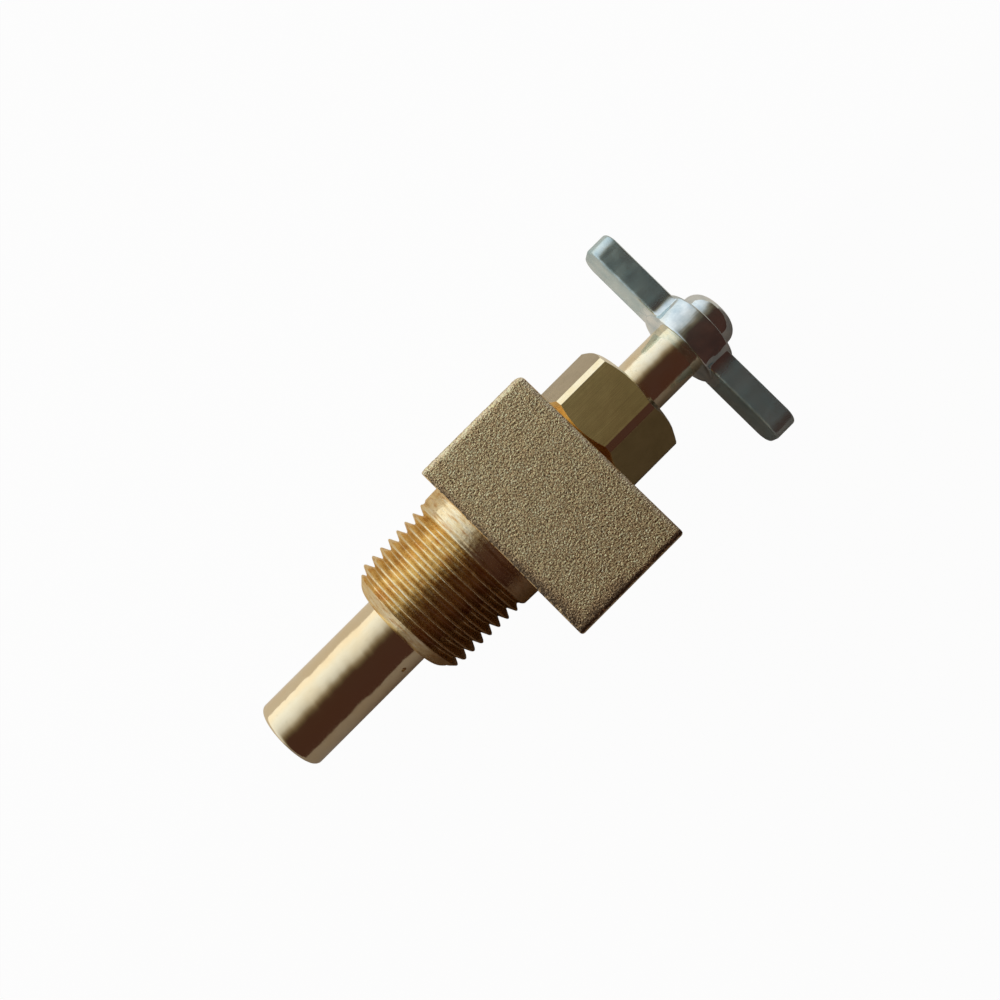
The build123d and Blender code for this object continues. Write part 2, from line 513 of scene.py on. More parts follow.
def make_blasted_brass():
    """Forged skin with a fine blasted grain, lightened along two edges by a painted highlight that is partly
    edge wear, and darkened along the others by painted shade that is partly dirt.
    """
    material = metal(
        "blasted_brass",
        (0.94, 0.72, 0.42),
        (0.80, 0.59, 0.33),
        0.38,
        cloud=0.9,
        speck=0.3,
        specks=0.5,
        marks=(((0.13, 0.13, 0.13), 0.05), ((0.22, 0.22, 0.22), 0.08)),
    )
    tree = material.node_tree
    shader = tree.nodes["Principled BSDF"]
    tone = shader.inputs["Base Color"].links[0].from_socket
    grit = use_group(tree, grain_group, Size=(0.19, 0.19, 0.19), Detail=2.0).outputs[0]
    tone = blend(tree, 1.0, tone, spread(tree, grit, 0.37, 0.63, 0.25, 1.8), "MULTIPLY")
    # Edge mask: above zero a painted highlight, partly edge wear; below zero painted shade, partly dirt
    edge_wear_and_light = place(tree, "ShaderNodeAttribute", attribute_name="edge_wear_and_light").outputs["Fac"]
    patchy = use_group(tree, grain_group, Size=(0.8, 0.8, 0.8)).outputs[0]
    bright = calc(tree, "MULTIPLY", spread(tree, edge_wear_and_light, 0.0, 1.0), spread(tree, patchy, 0.3, 0.55))
    painted_shade = calc(tree, "MULTIPLY", spread(tree, edge_wear_and_light, 0.0, -1.0), spread(tree, patchy, 0.25, 0.5))
    # Painted highlight on the edges towards the light, then painted shade on the others
    tone = blend(tree, bright, tone, (1.0, 0.90, 0.68, 1))
    tree.links.new(blend(tree, painted_shade, tone, (0.12, 0.09, 0.07, 1)), shader.inputs["Base Color"])
    return material


def make_thread_brass():
    """Cut thread: gold, pale on its neck and some crests, streaked along the cut, with painted shade towards
    -Y.
    """
    material = metal(
        "thread_brass",
        (0.94, 0.81, 0.53),
        (0.90, 0.71, 0.39),
        0.24,
        cloud=1.6,
        speck=0.28,
        specks=0.4,
        marks=(((0.09, 5.0, 5.0), 0.014), ((1.1, 1.1, 1.1), 0.05), ((0.22, 0.7, 0.7), 0.03)),
        tint=(0.96, 0.82, 0.58),
    )
    tree = material.node_tree
    shader = tree.nodes["Principled BSDF"]
    tone = shader.inputs["Base Color"].links[0].from_socket
    bright_streak = use_group(tree, grain_group, Size=(0.2, 3.0, 3.0), Detail=3.0).outputs[0]
    dark_streak = use_group(tree, grain_group, Size=(0.45, 2.2, 2.2), Detail=3.0).outputs[0]
    tone = blend(tree, spread(tree, bright_streak, 0.5, 0.66), tone, (0.98, 0.90, 0.66, 1))
    tone = blend(tree, spread(tree, dark_streak, 0.54, 0.7, 0.0, 0.8), tone, (0.62, 0.34, 0.13, 1))
    crest = place(tree, "ShaderNodeAttribute", attribute_name="crest").outputs["Fac"]
    plain = place(tree, "ShaderNodeAttribute", attribute_name="plain").outputs["Fac"]
    patchy = use_group(tree, grain_group, Size=(1.2, 2.5, 2.5)).outputs[0]
    on_crest = spread(tree, crest, 0.8, 1.0)
    dulled = calc(tree, "MULTIPLY", on_crest, spread(tree, patchy, 0.36, 0.58, 0.95, 0.2))
    tone = blend(tree, dulled, tone, (0.62, 0.44, 0.21, 1))
    # Pale on some crests: crest wear, partly painted highlight lines
    edge_wear_and_light = calc(tree, "MULTIPLY", on_crest, spread(tree, patchy, 0.5, 0.65, 0.0, 0.25))
    tone = blend(tree, calc(tree, "MAXIMUM", edge_wear_and_light, plain), tone, (0.96, 0.90, 0.74, 1))
    # Painted shade on the -Y side of the thread outside the block, away from the light
    where = place(tree, "ShaderNodeTexCoord").outputs["Object"]
    parts = place(tree, "ShaderNodeSeparateXYZ", {0: where})
    below = spread(tree, parts.outputs["Y"], -3.5 * MM, -6.5 * MM, 0.0, 0.85)
    outside = spread(tree, parts.outputs["X"], 0.3 * MM, 0.0)
    painted_shade = calc(tree, "MULTIPLY", below, outside)
    tree.links.new(blend(tree, painted_shade, tone, (0.30, 0.16, 0.08, 1)), shader.inputs["Base Color"])
    return material


def make_plated_zinc():
    """Plated die casting: bright on hub and button, duller on the arms, with soft dents and a thin haze."""
    material = metal(
        "plated_casting",
        (0.90, 0.95, 0.94),
        (0.58, 0.68, 0.72),
        0.05,
        cloud=2.6,
        speck=0.35,
        specks=0.03,
        marks=(((1.7, 1.7, 1.7), 0.11), ((4.0, 0.3, 0.3), 0.006)),
        detail=0.5,
    )
    tree = material.node_tree
    shader = tree.nodes["Principled BSDF"]
    gloss = shader.inputs["Roughness"].links[0].from_socket
    where = place(tree, "ShaderNodeTexCoord").outputs["Object"]
    flat = place(tree, "ShaderNodeVectorMath", {0: where, 1: (0, 1, 1)}, operation="MULTIPLY")
    radius = place(tree, "ShaderNodeVectorMath", {0: flat.outputs[0]}, operation="LENGTH")
    arm = spread(tree, radius.outputs["Value"], 5.6 * MM, 7.0 * MM)
    tree.links.new(calc(tree, "MULTIPLY_ADD", arm, 0.14, gloss), shader.inputs["Roughness"])
    haze = place(
        tree,
        "ShaderNodeBsdfPrincipled",
        {"Base Color": (0.50, 0.77, 0.80, 1), "Roughness": 0.7, "Metallic": 1.0},
    )
    tree.links.new(shader.inputs["Normal"].links[0].from_socket, haze.inputs["Normal"])
    share = calc(tree, "MULTIPLY_ADD", arm, 0.36, 0.04)
    mixed = place(tree, "ShaderNodeMixShader", {0: share, 1: shader.outputs[0], 2: haze.outputs[0]})
    tree.links.new(mixed.outputs[0], tree.nodes["Material Output"].inputs["Surface"])
    return material


rings_of_x = (0.16, 5.0, 5.0)
lines_of_x = (9.0, 0.16, 0.16)
along_valve = (0.0, 1.0, 1.0)
along_outlet = (1.0, 0.0, 1.0)
outlet_centre = (outlet_x * MM, 0.0, 0.0)

blasted_brass = make_blasted_brass()
end_brass = metal(
    "end_brass",
    (0.92, 0.68, 0.34),
    (0.86, 0.57, 0.26),
    0.26,
    cloud=3.0,
    speck=0.3,
    faced=((0, 0, 0), along_valve, 0.02),
)
outlet_brass = metal(
    "outlet_brass",
    (0.88, 0.72, 0.44),
    (0.80, 0.60, 0.32),
    0.26,
    cloud=3.0,
    speck=0.3,
    faced=(outlet_centre, along_outlet, 0.02),
)
thread_brass = make_thread_brass()
tube_brass = metal(
    "drawn_brass",
    (0.93, 0.82, 0.58),
    (0.92, 0.77, 0.50),
    0.13,
    cloud=5.0,
    specks=0.05,
    marks=((rings_of_x, 0.005), ((3.2, 7.0, 7.0), 0.28), ((0.7, 5.0, 5.0), 0.018)),
    detail=1.5,
)
stem_brass = metal(
    "turned_brass",
    (0.98, 0.92, 0.72),
    (0.96, 0.81, 0.53),
    0.14,
    cloud=3.0,
    specks=0.08,
    detail=1.0,
    marks=((rings_of_x, 0.005), ((1.6, 4.0, 4.0), 0.07), ((0.5, 3.0, 3.0), 0.012)),
)
nut_flats = metal(
    "nut_flats",
    (0.44, 0.34, 0.14),
    (0.40, 0.31, 0.12),
    0.2,
    cloud=2.0,
    specks=0.06,
    marks=((lines_of_x, 0.006), ((3.0, 3.0, 3.0), 0.03)),
    coat=0.6,
)
nut_cut = metal(
    "nut_cut",
    (0.96, 0.90, 0.70),
    (0.94, 0.83, 0.56),
    0.16,
    cloud=2.0,
    specks=0.06,
    marks=((rings_of_x, 0.004),),
)
plated_zinc = make_plated_zinc()
jumper_brass = metal(
    "jumper_brass",
    (0.90, 0.74, 0.44),
    (0.84, 0.64, 0.34),
    0.2,
    marks=((rings_of_x, 0.008),),
)
packing_fibre = soft_material("packing_fibre", (0.16, 0.15, 0.14), (0.10, 0.09, 0.09), 0.85, (0.3, 0.6, 0.6))
seat_rubber = soft_material("moulded_rubber", (0.05, 0.05, 0.05), (0.03, 0.03, 0.03), 0.6, (0.2, 0.2, 0.2))


# Helical thread as a tree of Geometry Nodes

def make_thread_tree():
    """Skin of a screw thread round the X axis, in rows along the helix, so that each crest is a true edge."""
    tree = bpy.data.node_groups.new("helical thread", "GeometryNodeTree")
    tree.interface.new_socket("Geometry", in_out="OUTPUT", socket_type="NodeSocketGeometry")
    for label in ("Rows", "Segments"):
        tree.interface.new_socket(label, in_out="INPUT", socket_type="NodeSocketInt")
    lengths = ("Pitch", "Low", "High", "Radius", "Depth", "Crest", "Root")
    for label in (*lengths, "Fade start", "Fade length", "Mouth", "Taper", "Side"):
        tree.interface.new_socket(label, in_out="INPUT", socket_type="NodeSocketFloat")
    tree.interface.new_socket("Material", in_out="INPUT", socket_type="NodeSocketMaterial")
    given = tree.nodes.new("NodeGroupInput").outputs
    pitch, low, high = given["Pitch"], given["Low"], given["High"]

    length = calc(tree, "ADD", calc(tree, "SUBTRACT", high, low), pitch)
    around = calc(tree, "ADD", given["Segments"], 1)
    grid = place(
        tree,
        "GeometryNodeMeshGrid",
        {"Size X": length, "Size Y": 2 * math.pi, "Vertices X": given["Rows"], "Vertices Y": around},
    )
    spot = place(tree, "ShaderNodeSeparateXYZ", {0: place(tree, "GeometryNodeInputPosition").outputs[0]})
    angle = calc(tree, "ADD", spot.outputs[1], math.pi)
    middle = calc(tree, "MULTIPLY", calc(tree, "SUBTRACT", calc(tree, "ADD", low, high), pitch), 0.5)
    along = calc(tree, "ADD", spot.outputs[0], middle)
    lead = calc(tree, "MULTIPLY", calc(tree, "DIVIDE", angle, 2 * math.pi), pitch)
    x = calc(tree, "MINIMUM", calc(tree, "MAXIMUM", calc(tree, "ADD", along, lead), low), high)

    phase = calc(tree, "FRACT", calc(tree, "DIVIDE", along, pitch))
    from_root = calc(tree, "MULTIPLY", calc(tree, "ABSOLUTE", calc(tree, "SUBTRACT", phase, 0.5)), pitch)
    flat = calc(tree, "ADD", given["Crest"], given["Root"])
    flank = calc(tree, "MULTIPLY", calc(tree, "SUBTRACT", pitch, flat), 0.5)
    climb = calc(tree, "SUBTRACT", from_root, calc(tree, "MULTIPLY", given["Root"], 0.5))
    crest = spread(tree, climb, 0.0, flank)
    fade_end = calc(tree, "ADD", given["Fade start"], given["Fade length"])
    fade = spread(tree, x, given["Fade start"], fade_end, 1.0, 0.0)
    groove = calc(tree, "SUBTRACT", 1.0, crest)
    cut = calc(tree, "MULTIPLY", calc(tree, "MULTIPLY", groove, fade), given["Depth"])
    bare = calc(tree, "MULTIPLY_ADD", x, given["Taper"], given["Radius"])
    side = given["Side"]
    threaded = calc(tree, "SUBTRACT", bare, calc(tree, "MULTIPLY", cut, side))
    mouth = calc(tree, "MULTIPLY_ADD", calc(tree, "SUBTRACT", x, low), side, given["Mouth"])
    on_thread = calc(tree, "MULTIPLY", threaded, side)
    on_mouth = calc(tree, "MULTIPLY", mouth, side)
    radius = calc(tree, "MULTIPLY", calc(tree, "MINIMUM", on_thread, on_mouth), side)
    y = calc(tree, "MULTIPLY", radius, calc(tree, "COSINE", angle))
    z = calc(tree, "MULTIPLY", radius, calc(tree, "SINE", angle))
    moved = place(tree, "ShaderNodeCombineXYZ", {0: x, 1: y, 2: z}).outputs[0]
    skin = place(tree, "GeometryNodeSetPosition", {"Geometry": grid.outputs[0], "Position": moved})
    marked = place(
        tree,
        "GeometryNodeStoreNamedAttribute",
        {"Geometry": skin.outputs[0], "Name": "crest", "Value": crest},
        data_type="FLOAT",
        domain="POINT",
    )
    marked = place(
        tree,
        "GeometryNodeStoreNamedAttribute",
        {"Geometry": marked.outputs[0], "Name": "plain", "Value": calc(tree, "SUBTRACT", 1.0, fade)},
        data_type="FLOAT",
        domain="POINT",
    )
    merged = place(
        tree,
        "GeometryNodeMergeByDistance",
        {"Geometry": marked.outputs[0], "Distance": 0.002 * MM},
    )
    real = place(tree, "GeometryNodeRealizeInstances", {"Geometry": merged.outputs[0]})
    dressed = place(
        tree,
        "GeometryNodeSetMaterial",
        {"Geometry": real.outputs[0], "Material": given["Material"]},
    )
    result = tree.nodes.new("NodeGroupOutput")
    tree.links.new(dressed.outputs[0], result.inputs["Geometry"])
    return tree


thread_tree = make_thread_tree()


def thread_skin(name, material, segments, lengths, taper, side):
    """Mesh of one thread, from lengths in millimetres under the tree's names; side is 1 for a male thread."""
    piece = add_object(name, bpy.data.meshes.new(name), material)
    step = piece.modifiers.new("thread", "NODES")
    step.node_group = thread_tree
    turns = (lengths["High"] - lengths["Low"] + lengths["Pitch"]) / lengths["Pitch"]
    values = {label: length * MM for label, length in lengths.items()}
    values["Rows"] = round(turns * rows_per_pitch) + 1
    values["Segments"] = segments
    values["Taper"] = taper
    values["Side"] = side
    values["Material"] = material
    for socket in thread_tree.interface.items_tree:
        if socket.in_out == "INPUT":
            step[socket.identifier] = values[socket.name]
    bake_modifiers(piece)
    piece.data.materials.clear()
    piece.data.materials.append(material)
    for face in piece.data.polygons:
        face.material_index = 0
    return piece


# Pieces

def ticks(low, high, edge, step):
    """Places along one side of the block, close together near both edges."""
    near = [edge * k / edge_steps for k in range(edge_steps)]
    count = round((high - low - 2 * edge) / step)
    middle = [low + edge + (high - low - 2 * edge) * k / count for k in range(count + 1)]
    return [low + d for d in near] + middle + [high - d for d in reversed(near)]


def block_outline(x, y):
    """Place in the rounded rectangle of a point of the plain one, its distance to the rim and the way in."""
    right = x > body_length / 2
    upper = y > (closed_reach - outlet_reach) / 2
    side_x = body_length if right else 0.0
    side_y = closed_reach if upper else -outlet_reach
    radius = nose_corner_radius if right and upper else block_corner_radius
    in_x = -1 if right else 1
    in_y = -1 if upper else 1
    dx = abs(x - side_x)
    dy = abs(y - side_y)
    if dx < radius and dy < radius:
        a = 1 - dx / radius
        b = 1 - dy / radius
        far = max(a, b)
        span = math.hypot(a, b) or 1
        centre = Vector((side_x + in_x * radius, side_y + in_y * radius))
        out = Vector((-in_x * a, -in_y * b)) / span
        return centre + out * radius * far, radius * (1 - far), -out
    if dx < dy:
        return Vector((x, y)), dx, Vector((in_x, 0))
    return Vector((x, y)), dy, Vector((0, in_y))


def block_point(x, y, z):
    """Point of the block's rounded skin for a point of the plain box."""
    spot, depth, inward = block_outline(x, y)
    side_radius = outlet_rim_radius if inward.y > 0 else closed_rim_radius
    rim = rim_radius + (side_radius - rim_radius) * inward.y**2
    drop = body_depth / 2 - abs(z)
    if depth < rim and drop < rim:
        a = 1 - depth / rim
        b = 1 - drop / rim
        far = max(a, b)
        span = math.hypot(a, b) or 1
        spot = spot + inward * (rim * (1 - far * a / span) - depth)
        drop = rim * (1 - far * b / span)
    return spot.x, spot.y, math.copysign(body_depth / 2 - drop, z)


def make_block():
    """Rounded block on a close net of points, so that the blasted grain can be real relief."""
    xs = ticks(0.0, body_length, nose_corner_radius, block_step)
    ys = ticks(-outlet_reach, closed_reach, nose_corner_radius, block_step)
    zs = ticks(-body_depth / 2, body_depth / 2, nose_corner_radius, block_step_z)
    last = (len(xs) - 1, len(ys) - 1, len(zs) - 1)
    numbers = {}
    points = []

    def number(i, j, k):
        if (i, j, k) not in numbers:
            numbers[i, j, k] = len(points)
            points.append(block_point(xs[i], ys[j], zs[k]))
        return numbers[i, j, k]

    faces = []
    for axis in range(3):
        u, v = (axis + 1) % 3, (axis + 2) % 3
        for end in (0, last[axis]):
            for a in range(last[u]):
                for b in range(last[v]):
                    corners = []
                    for da, db in ((0, 0), (1, 0), (1, 1), (0, 1)):
                        at = [0, 0, 0]
                        at[axis], at[u], at[v] = end, a + da, b + db
                        corners.append(number(*at))
                    faces.append(corners if end else corners[::-1])
    block = make_object("valve_block", points, faces, blasted_brass)
    clean(block)
    return block


def roughen(block):
    """Blasted grain on the forged sides of the block; the two ends and the outlet face stay machined."""
    net = bmesh.new()
    net.from_mesh(block.data)
    net.normal_update()
    edge_wear_and_light = net.verts.layers.float.new("edge_wear_and_light")
    moves = []
    for vert in net.verts:
        n = vert.normal
        p = vert.co / MM
        in_bore = math.hypot(p.y, p.z) < boss_radius + 0.4 and 0.2 < p.x < body_length + 0.2
        in_port = math.hypot(p.x - outlet_x, p.z) < outlet_mouth_radius + 0.3 and p.y < 0
        forged = max(abs(n.z), n.y, 0.0) ** 2
        if abs(p.z) < body_depth / 2 - 1 and (in_bore or in_port):
            forged = 0.0
        coarse = noise.noise(p / grain_size)
        fine = noise.noise(p / (grain_size * 0.55) + Vector((9, 4, 7)))
        broad = noise.noise(p / (grain_size * 8))
        lift = grain_height * (coarse + 0.5 * fine + 0.6 * broad - 1.5)
        moves.append(n * (lift * forged * MM))
        # Edge mask for the material: painted highlight, partly edge wear, on the edges by +Y and in the +X
        # half; painted shade, partly dirt, on the others, in a band that widens towards the dark -Y side
        sides = (
            min(p.x, body_length - p.x),
            min(p.y + outlet_reach, closed_reach - p.y),
            body_depth / 2 - abs(p.z),
        )
        highlight_edge = p.y > closed_reach - edge_light_band or p.x > body_length / 2 and p.y > -outlet_reach + edge_light_band
        width = edge_light_band if highlight_edge else edge_light_band * (1 + 2 * max(0.0, -p.y / outlet_reach))
        vert[edge_wear_and_light] = max(0.0, 1 - sorted(sides)[1] / width) * (1 if highlight_edge else -1)
    for vert, move in zip(net.verts, moves):
        vert.co += move
    net.normal_update()
    for face in net.faces:
        n = face.normal
        if abs(n.x) > 0.7 or math.hypot(*face.calc_center_median().yz) < boss_radius * MM:
            face.material_index = 1
        else:
            face.material_index = 2 if n.y < -0.7 else 0
    net.to_mesh(block.data)
    net.free()


def bore_tool(name, axis_turn, *outline):
    """Closed cutter turned from a few points."""
    tool = turned(name, outline, end_brass, 96, axis_turn=axis_turn)
    clean(tool)
    return tool


outlet_turn = Matrix.Rotation(math.radians(90), 4, "Z")
to_outlet = Matrix.Translation((outlet_x * MM, -outlet_reach * MM, 0)) @ outlet_turn


def make_valve_block():
    """Block with its bores, its gland boss and its blasted grain."""
    block = make_block()
    port = bore_tool(
        "port_cutter",
        to_outlet,
        (-1, 0),
        (-1, outlet_mouth_radius),
        (outlet_depth, outlet_mouth_radius),
        (outlet_depth, outlet_passage_radius),
        (outlet_reach, outlet_passage_radius),
        (outlet_reach, 0),
    )
    way = bore_tool(
        "way_cutter",
        Matrix(),
        (-1, 0),
        (-1, passage_radius),
        (chamber_start, passage_radius),
        (chamber_start, chamber_radius),
        (chamber_end, chamber_radius),
        (chamber_end, screw_bore_radius),
        (body_length + 1, screw_bore_radius),
        (body_length + 1, 0),
    )
    combine(block, "DIFFERENCE", port, way)
    block.data.materials.clear()
    for material in (blasted_brass, end_brass, outlet_brass):
        block.data.materials.append(material)
    roughen(block)
    boss = turned(
        "boss",
        rounded(
            [
                (body_length - 1, screw_bore_radius),
                (boss_top, screw_bore_radius),
                (boss_top, boss_radius),
                (body_length - 1, boss_radius),
            ],
            (0, 0.2, 0.4, 0),
        ),
        end_brass,
    )
    clean(boss)
    for face in boss.data.polygons:
        face.material_index = 1
    join(block, boss)
    block.data.shade_smooth()
    block.data.set_sharp_from_angle(angle=math.radians(50))
    return block


def make_pipe_thread():
    """Male taper thread with its coned end and the bore that holds the standpipe."""
    low = pipe_end + end_cone_height
    runout = pipe_pitch
    skin = thread_skin(
        "pipe_thread",
        thread_brass,
        thread_segments,
        {
            "Pitch": pipe_pitch,
            "Low": low,
            "High": thread_root_in_block,
            "Radius": pipe_radius,
            "Depth": pipe_depth,
            "Crest": pipe_pitch / 8,
            "Root": pipe_pitch / 8,
            "Fade start": -pipe_neck - runout,
            "Fade length": runout,
            "Mouth": end_cone_radius,
        },
        pipe_half_taper,
        side=1,
    )
    inside_radius = pipe_radius + thread_root_in_block * pipe_half_taper
    nose_start = Vector((low, end_cone_radius))
    nose_bend = Vector((pipe_end, end_cone_radius - end_cone_height))
    nose_end = Vector((pipe_end, end_face_radius))
    liner = turned(
        "liner",
        [
            *curve(nose_start, nose_bend, nose_end, 8),
            (pipe_end, tube_radius + socket_gap),
            (tube_end, tube_radius + socket_gap),
            (tube_end, passage_radius),
            (thread_root_in_block, passage_radius),
            (thread_root_in_block, inside_radius),
        ],
        thread_brass,
        thread_segments,
        closed=False,
    )
    join(skin, liner)
    clean(skin, 12)
    return skin


def make_outlet_thread():
    """Female taper thread of the outlet, as a sleeve in the bored block."""
    end = outlet_depth - 0.5
    skin = thread_skin(
        "outlet_thread",
        outlet_brass,
        outlet_segments,
        {
            "Pitch": outlet_pitch,
            "Low": 0.0,
            "High": end,
            "Radius": outlet_radius,
            "Depth": outlet_thread_depth,
            "Crest": outlet_pitch / 8,
            "Root": outlet_pitch / 8,
            "Fade start": outlet_depth - 2.5,
            "Fade length": 1.5,
            "Mouth": outlet_mouth_radius,
        },
        -pipe_half_taper,
        side=-1,
    )
    liner = turned(
        "liner",
        [
            (0, outlet_mouth_radius),
            (outlet_depth, outlet_mouth_radius),
            (outlet_depth, outlet_passage_radius),
            (end, outlet_passage_radius + 0.2),
            (end, outlet_radius - end * pipe_half_taper),
        ],
        outlet_brass,
        outlet_segments,
        closed=False,
    )
    join(skin, liner)
    skin.data.transform(to_outlet)
    clean(skin, 25)
    return skin


def make_standpipe():
    """Drawn tube with a rounded rim, its bore and a small pit."""
    outline = rounded(
        [
            (tube_start, tube_radius - tube_wall),
            (tube_end, tube_radius - tube_wall),
            (tube_end, tube_radius),
            (tube_start, tube_radius),
        ],
        (tube_inner_rim_radius, 0, 0, tube_rim_radius),
    )
    tube = turned("standpipe_tube", outline, tube_brass)
    clean(tube)
    angles = [math.pi * k / 12 for k in range(13)]
    ball = [(pit_radius * math.cos(a), pit_radius * math.sin(a)) for a in angles]
    turn = math.radians(pit_angle)
    depth = tube_radius - pit_sink
    spot = Vector((pit_x, depth * math.sin(turn), depth * math.cos(turn)))
    pit = bore_tool("pit", Matrix.Translation(spot * MM), *ball)
    combine(tube, "DIFFERENCE", pit)
    clean(tube)
    return tube


def make_packing_nut():
    """Hexagon nut with flat corner strips, coned at both ends."""
    corner = nut_across_flats / 2 / math.cos(math.radians(30))
    half_side = corner / 2
    strip = nut_corner_width / 2 / math.cos(math.radians(30))
    points = []
    for side in range(6):
        turn = Matrix.Rotation(math.radians(60 * side + nut_turn), 2)
        for t in (-half_side + strip, half_side - strip):
            points.append(turn @ Vector((-t, nut_across_flats / 2)))
    count = len(points)
    outline = [(nut_base, p.x, p.y) for p in points] + [(nut_top, p.x, p.y) for p in points]
    faces = [tuple(range(count)), tuple(range(2 * count - 1, count - 1, -1))]
    faces += [(i, (i + 1) % count, (i + 1) % count + count, i + count) for i in range(count)]
    nut = make_object("packing_nut_hex", outline, faces, nut_flats)
    clean(nut, 10)
    top_flat = corner - nut_top_corner_drop / math.tan(math.radians(nut_top_angle))
    base_flat = corner - nut_base_corner_drop / math.tan(math.radians(nut_base_angle))
    envelope = turned(
        "envelope",
        [
            (nut_base, boss_radius + nut_boss_gap),
            (nut_base, base_flat),
            (nut_base + nut_base_corner_drop, corner),
            (nut_top - nut_top_corner_drop, corner),
            (nut_top, top_flat),
            (nut_top, shank_radius + nut_shank_gap),
            (nut_ceiling, shank_radius + nut_shank_gap),
            (nut_ceiling, boss_radius + nut_boss_gap),
        ],
        nut_cut,
    )
    clean(envelope)
    combine(nut, "INTERSECT", envelope)
    clean(nut, 10)
    edge = nut.modifiers.new("edges", "BEVEL")
    edge.width = nut_edge_width * MM
    edge.segments = 2
    edge.limit_method = "ANGLE"
    edge.angle_limit = math.radians(18)
    bake_modifiers(nut)
    clean(nut, 6)
    nut.data.materials.clear()
    for material in (nut_cut, nut_flats):
        nut.data.materials.append(material)
    for face in nut.data.polygons:
        n = face.normal
        away = (math.degrees(math.atan2(n.z, n.y)) - 90 - nut_turn + 30) % 60 - 30
        face.material_index = 1 if abs(n.x) < 0.05 and abs(away) < 3 and face.area > MM**2 else 0
    return nut


def make_stem():
    """Turned spindle from its foot to the tang inside the handle."""
    outline = rounded(
        [
            (stem_foot, 0),
            (stem_foot, foot_radius),
            (screw_start, foot_radius),
            (screw_start, screw_radius),
            (screw_end, screw_radius),
            (screw_end, shank_radius),
            (tang_start, shank_radius),
            (tang_start, tang_radius),
            (tang_end, tang_radius),
            (tang_end, 0),
        ],
        (0, 0.2, 0.1, 0.3, 0.3, 0.1, 0.15, 0.1, 0.2, 0),
    )
    stem = turned("stem_spindle", outline, stem_brass)
    clean(stem)
    return stem


def arc(centre, radius, first, last, steps):
    """Points of an arc, with its angles in degrees."""
    angles = [math.radians(first + (last - first) * k / steps) for k in range(steps + 1)]
    return [Vector((centre[0] + radius * math.cos(a), centre[1] + radius * math.sin(a))) for a in angles]


def lever_outline():
    """Plan of the two arms, blended to a core just inside the hub, as a closed ring of points."""
    core = hub_radius - hub_inset
    rise = arm_half_depth + hub_blend
    reach = math.sqrt((core + hub_blend) ** 2 - rise**2)
    meet = math.degrees(math.atan2(rise, reach))
    end = (arm_half_span - arm_end_radius, arm_half_depth - arm_end_radius)
    quarter = arc(end, arm_end_radius, 0, 90, 12)
    quarter += arc((reach, rise), hub_blend, 270, 180 + meet, 10)
    quarter += arc((0, 0), core, meet, 90, 10)[1:]
    half = quarter + [Vector((-p.x, p.y)) for p in reversed(quarter[:-1])]
    return half + [Vector((p.x, -p.y)) for p in reversed(half)]


def make_lever():
    """Flat lever with rounded rims, standing along X."""
    plan = lever_outline()
    count = len(plan)
    inward = []
    for i in range(count):
        run = (plan[(i + 1) % count] - plan[i - 1]).normalized()
        inward.append(Vector((-run.y, run.x)))
    steps = 5
    rows = []
    for side in (-1, 1):
        for k in range(steps + 1):
            swing = math.radians(90 * (k if side > 0 else steps - k) / steps)
            inset = arm_rim_radius * (1 - math.cos(swing))
            height = arm_thickness / 2 - arm_rim_radius * (1 - math.sin(swing))
            rows.append((inset, handle_start + arm_thickness / 2 + side * height))
    points = []
    for inset, x in rows:
        points += [(x, *(p + n * inset)) for p, n in zip(plan, inward)]
    faces = [tuple(range(count)), tuple(range(len(points) - 1, len(points) - count - 1, -1))]
    for r in range(len(rows) - 1):
        for i in range(count):
            j = (i + 1) % count
            faces.append((r * count + i, r * count + j, (r + 1) * count + j, (r + 1) * count + i))
    lever = make_object("t_handle", points, faces, plated_zinc)
    clean(lever)
    return lever


def make_handle():
    """T-handle: lever, hub and domed button in one casting."""
    lever = make_lever()
    hub = turned(
        "hub",
        rounded(
            [
                (handle_start - hub_drop, 0),
                (handle_start - hub_drop, hub_radius),
                (handle_start + hub_height, hub_radius),
                (handle_start + hub_height, button_radius),
                (handle_start + button_top, button_radius),
                (handle_start + button_top, 0),
            ],
            (0, hub_rim_radius, hub_rim_radius, 0.3, button_rim_radius, 0),
            8,
        ),
        plated_zinc,
    )
    clean(hub)
    combine(lever, "UNION", hub)
    lever.data.transform(Matrix.Rotation(math.radians(handle_turn), 4, "X"))
    clean(lever, 40)
    return lever


def dress(piece, body, slot, *nodes):
    """Ties a finished piece to its body and hides the nodes it stands for; the material slot is not used."""
    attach(piece, body)
    if nodes:
        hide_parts(*nodes)


dress(make_valve_block(), "valve", "body_brass", "valve_body")
dress(make_pipe_thread(), "valve", "body_brass")
dress(make_outlet_thread(), "valve", "body_brass")
dress(make_standpipe(), "valve", "tube_brass", "standpipe")
dress(make_packing_nut(), "valve", "nut_brass", "packing_nut")
dress(make_stem(), "spindle", "stem_brass", "stem")
dress(make_handle(), "spindle", "plated_zinc", "handle")

hidden_finishes = {
    "packing_washer": jumper_brass,
    "jumper": jumper_brass,
    "packing_ring": packing_fibre,
    "seat_washer": seat_rubber,
}
for node, material in hidden_finishes.items():
    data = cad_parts[node].data
    data.materials.clear()
    data.materials.append(material)


# Stage, light and camera

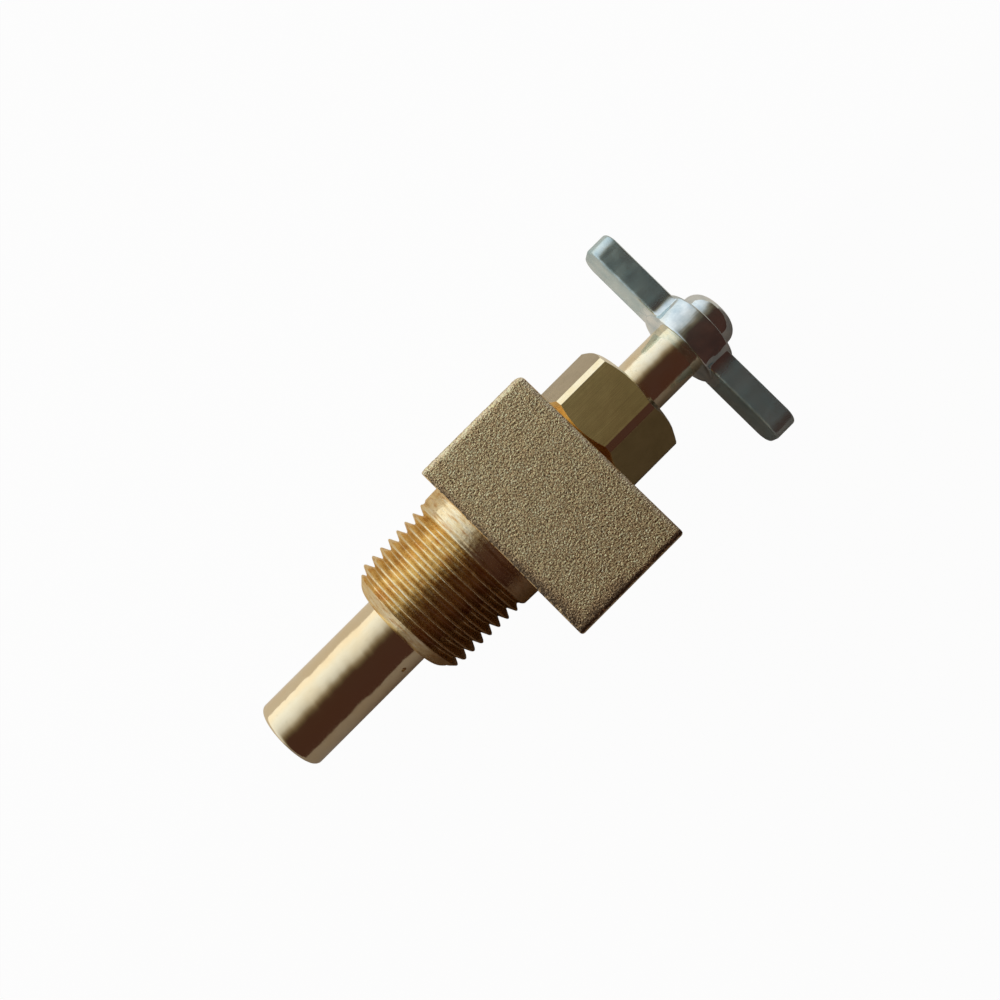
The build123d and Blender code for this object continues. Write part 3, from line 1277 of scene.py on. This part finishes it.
def make_floor():
    """Pale floor with painted shade, a darker colour on the -Y side of the part that is darkest towards +X,
    and a warm painted glow that reflections see on the +Y side. The camera sees it near white, with a faint
    shadow.
    """
    material, tree, shader = start_material("pale_floor")
    shader.inputs["Roughness"].default_value = 0.9
    spot = place(tree, "ShaderNodeSeparateXYZ", {0: place(tree, "ShaderNodeTexCoord").outputs["Object"]})
    # Painted shade: the floor colour is darker on the -Y side, away from the light, and darkest towards +X
    lit = spread(tree, spot.outputs[1], -2 * MM, 3 * MM)
    far = spread(tree, spot.outputs[0], -15 * MM, 15 * MM)
    painted_floor_shade = blend(tree, far, (0.70, 0.62, 0.55, 1), (0.42, 0.36, 0.31, 1))
    tone = blend(tree, lit, painted_floor_shade, (0.86, 0.83, 0.78, 1))
    tree.links.new(tone, shader.inputs["Base Color"])
    path = place(tree, "ShaderNodeLightPath")
    # Painted glow: glossy and transmission rays see a warm emission on the lit +Y side only
    painted_glow_share = calc(tree, "MAXIMUM", path.outputs["Is Glossy Ray"], path.outputs["Is Transmission Ray"])
    painted_glow_share = calc(tree, "MULTIPLY", calc(tree, "MULTIPLY", painted_glow_share, lit), 0.42)
    seen = calc(tree, "MAXIMUM", calc(tree, "MULTIPLY", path.outputs["Is Camera Ray"], 0.97), painted_glow_share)
    shine = blend(tree, path.outputs["Is Camera Ray"], (1.0, 0.88, 0.74, 1), (1, 1, 1, 1))
    white = place(tree, "ShaderNodeEmission", {"Color": shine, "Strength": 1.0})
    mixed = place(tree, "ShaderNodeMixShader", {0: seen, 1: shader.outputs[0], 2: white.outputs[0]})
    tree.links.new(mixed.outputs[0], tree.nodes["Material Output"].inputs["Surface"])
    half = 1500.0
    z = cad_low[2] / MM - 0.02
    corners = [(-half, -half, z), (half, -half, z), (half, half, z), (-half, half, z)]
    make_object("floor", corners, [(0, 1, 2, 3)], material)


def make_world():
    """Soft light from half of the sky, over the closed side of the valve; the other half is a dark room."""
    world = bpy.data.worlds.new("studio")
    bpy.context.scene.world = world
    world.use_nodes = True
    tree = world.node_tree
    way = place(tree, "ShaderNodeTexCoord").outputs["Generated"]
    across = place(tree, "ShaderNodeVectorMath", {0: way, 1: light_way}, operation="DOT_PRODUCT")
    sky = ramp(
        tree,
        spread(tree, across.outputs["Value"], -1.0, 1.0),
        (0.0, (0.054, 0.024, 0.018)),
        (0.37, (0.054, 0.026, 0.018)),
        (0.43, (0.09, 0.065, 0.04)),
        (0.49, (0.17, 0.13, 0.085)),
        (0.55, (0.30, 0.27, 0.225)),
        (0.62, (0.56, 0.56, 0.55)),
        (0.75, (0.80, 0.83, 0.87)),
        (0.90, (0.97, 1.01, 1.05)),
        (0.98, (1.06, 1.02, 0.95)),
    )
    path = place(tree, "ShaderNodeLightPath")
    seen = blend(tree, path.outputs["Is Camera Ray"], sky, (1, 1, 1, 1))
    tree.links.new(seen, tree.nodes["Background"].inputs["Color"])


def make_camera():
    """Camera at the photograph's place, worked out from its turn about the valve and its distance."""
    roll = Matrix.Rotation(math.radians(-camera_roll), 3, "X")
    yaw = Matrix.Rotation(math.radians(camera_yaw), 3, "Y")
    back_turn = (yaw @ roll).transposed()
    spot = back_turn @ Vector((aim_x, aim_y, camera_distance)) * MM
    image = Matrix.Rotation(math.radians(-image_turn), 3, "Z")
    lens = bpy.data.cameras.new("camera")
    lens.sensor_width = sensor_width
    lens.lens = focal_pixels / image_pixels * sensor_width
    lens.clip_start = 0.01
    lens.clip_end = 20
    camera = bpy.data.objects.new("camera", lens)
    camera.matrix_world = Matrix.Translation(spot) @ (back_turn @ image).to_4x4()
    bpy.context.collection.objects.link(camera)
    bpy.context.scene.camera = camera


make_floor()
make_world()
make_camera()
bpy.context.scene.view_settings.view_transform = "Standard"
